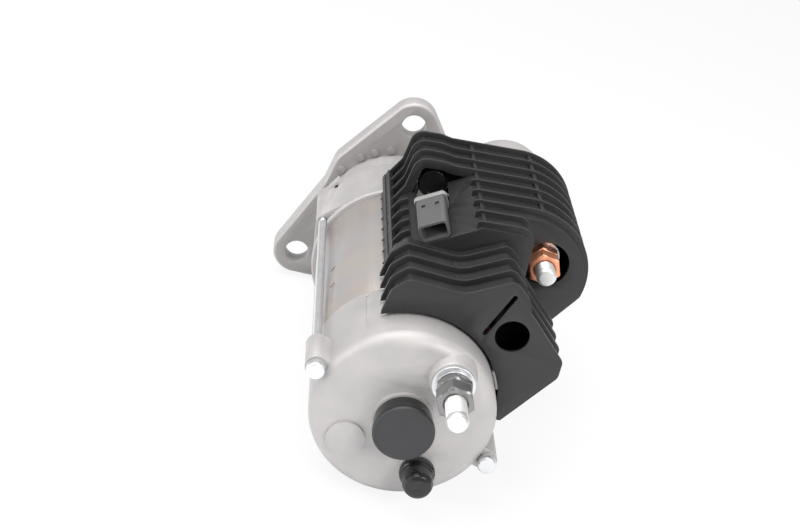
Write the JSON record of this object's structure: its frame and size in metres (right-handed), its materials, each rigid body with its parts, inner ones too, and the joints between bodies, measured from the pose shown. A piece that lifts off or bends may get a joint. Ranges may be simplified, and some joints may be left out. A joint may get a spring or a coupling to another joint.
{
  "type": "starter motor",
  "caption": "Heavy-duty starter motor: three-ear flange, planetary drive, finned black cover over the solenoid, two terminals and a small connector.",
  "frame": {"origin": "centre of the flange's mounting face, on the motor's axis", "axes": "+Y along the motor's axis towards the drive end, +Z through the top mounting hole, +X to the right seen from the rear"},
  "size_m": [0.1871, 0.3764, 0.1456],
  "materials": {
    "cast_aluminium": "sand-blasted casting",
    "yoke_steel": "satin light grey",
    "zinc_steel": "zinc plated",
    "hard_steel": "ground and oiled",
    "core_steel": "blued laminations",
    "copper": "bare copper",
    "copper_winding": "lacquered copper",
    "black_plastic": "moulded, matte",
    "cap_black": "glossy black",
    "phenolic": "moulded brown",
    "rubber": "moulded",
    "clip_grey": "moulded grey",
    "brush_carbon": "pressed copper and carbon"
  },
  "bodies": {
    "motor_frame": {"drive_housing": "cast_aluminium", "nose_seal": "rubber", "needle_bearing": "hard_steel", "ring_gear": "hard_steel", "support_plate": "zinc_steel", "gear_cover_plate": "zinc_steel", "lever_pin": "hard_steel", "solenoid_case": "zinc_steel", "solenoid_bobbin": "phenolic", "solenoid_coil": "copper_winding", "solenoid_core": "core_steel", "solenoid_cap": "phenolic", "battery_stud": "zinc_steel", "motor_stud": "copper", "battery_washer": "zinc_steel", "battery_nuts": "copper", "motor_nut": "copper", "motor_strap": "copper", "strap_grommet": "rubber", "solenoid_screws": "zinc_steel", "yoke": "yoke_steel", "pole_shoes": "core_steel", "field_coils": "copper_winding", "end_cover": "cast_aluminium", "through_bolts": "zinc_steel", "rear_bearing": "hard_steel", "bearing_cap": "cap_black", "drain_cap": "cap_black", "ground_stud": "zinc_steel", "ground_washers": "zinc_steel", "ground_nuts": "zinc_steel", "brush_plate": "zinc_steel", "brush_holders": "zinc_steel", "brushes": "brush_carbon", "brush_springs": "hard_steel", "relay_can": "zinc_steel", "relay_coil": "copper_winding", "relay_bracket": "zinc_steel", "connector_shell": "black_plastic", "connector_pins": "zinc_steel", "solenoid_cover": "black_plastic", "cover_clip": "clip_grey"},
    "armature": {"armature_shaft": "hard_steel", "armature_core": "core_steel", "armature_winding": "copper_winding", "commutator": "copper", "sun_gear": "hard_steel"},
    "carrier": {"planet_carrier": "hard_steel", "planet_pins": "hard_steel"},
    "planet_1": {"planet_gear_1": "hard_steel"},
    "planet_2": {"planet_gear_2": "hard_steel"},
    "planet_3": {"planet_gear_3": "hard_steel"},
    "solenoid_plunger": {"plunger": "zinc_steel", "return_spring": "hard_steel"},
    "lever": {"shift_lever": "phenolic"},
    "clutch": {"clutch_shell": "hard_steel", "clutch_rollers": "hard_steel"},
    "drive_pinion": {"pinion": "hard_steel"},
    "contacts": {"contact_bridge": "copper"},
    "relay_armature": {"relay_plunger": "hard_steel"}
  },
  "joints": [
    {"name": "armature_spin", "type": "hinge", "parent": "motor_frame", "child": "armature", "pos_m": [0, 0, 0], "axis": [0, 1, 0], "continuous": true},
    {"name": "carrier_spin", "type": "hinge", "parent": "motor_frame", "child": "carrier", "pos_m": [0, 0, 0], "axis": [0, 1, 0], "continuous": true},
    {"name": "planet_spin_1", "type": "hinge", "parent": "carrier", "child": "planet_1", "pos_m": [0.024, 0, 0], "axis": [0, 1, 0], "continuous": true},
    {"name": "planet_spin_2", "type": "hinge", "parent": "carrier", "child": "planet_2", "pos_m": [-0.012, 0, 0.02078], "axis": [0, 1, 0], "continuous": true},
    {"name": "planet_spin_3", "type": "hinge", "parent": "carrier", "child": "planet_3", "pos_m": [-0.012, 0, -0.02078], "axis": [0, 1, 0], "continuous": true},
    {"name": "plunger_slide", "type": "slide", "parent": "motor_frame", "child": "solenoid_plunger", "axis": [0, -1, 0], "range_m": [0, 0.012], "stiffness_N_per_m": 800, "springref_m": -0.012, "deforming": ["return_spring"]},
    {"name": "lever_swing", "type": "hinge", "parent": "motor_frame", "child": "lever", "pos_m": [0.04045, -0.0365, 0.02819], "axis": [0.5718, 0, -0.8204], "range_deg": [0, 21.86]},
    {"name": "clutch_slide", "type": "slide", "parent": "carrier", "child": "clutch", "axis": [0, 1, 0], "range_m": [0, 0.019]},
    {"name": "pinion_overrun", "type": "hinge", "parent": "clutch", "child": "drive_pinion", "pos_m": [0, 0, 0], "axis": [0, 1, 0], "continuous": true},
    {"name": "contact_slide", "type": "slide", "parent": "motor_frame", "child": "contacts", "axis": [0, -1, 0], "range_m": [0, 0.003]},
    {"name": "relay_slide", "type": "slide", "parent": "motor_frame", "child": "relay_armature", "axis": [0, 1, 0], "range_m": [0, 0.0015], "stiffness_N_per_m": 500, "springref_m": -0.002}
  ],
  "couplings": [
    {"joint": "carrier_spin", "follows": "armature_spin", "ratio": 0.25},
    {"joint": "planet_spin_1", "follows": "armature_spin", "ratio": -0.75},
    {"joint": "planet_spin_2", "follows": "armature_spin", "ratio": -0.75},
    {"joint": "planet_spin_3", "follows": "armature_spin", "ratio": -0.75},
    {"joint": "lever_swing", "follows": "plunger_slide", "rad_per_m": 31.723},
    {"joint": "clutch_slide", "follows": "plunger_slide", "ratio": 1.5833},
    {"joint": "contact_slide", "follows": "plunger_slide", "ratio": 0.25}
  ]
}
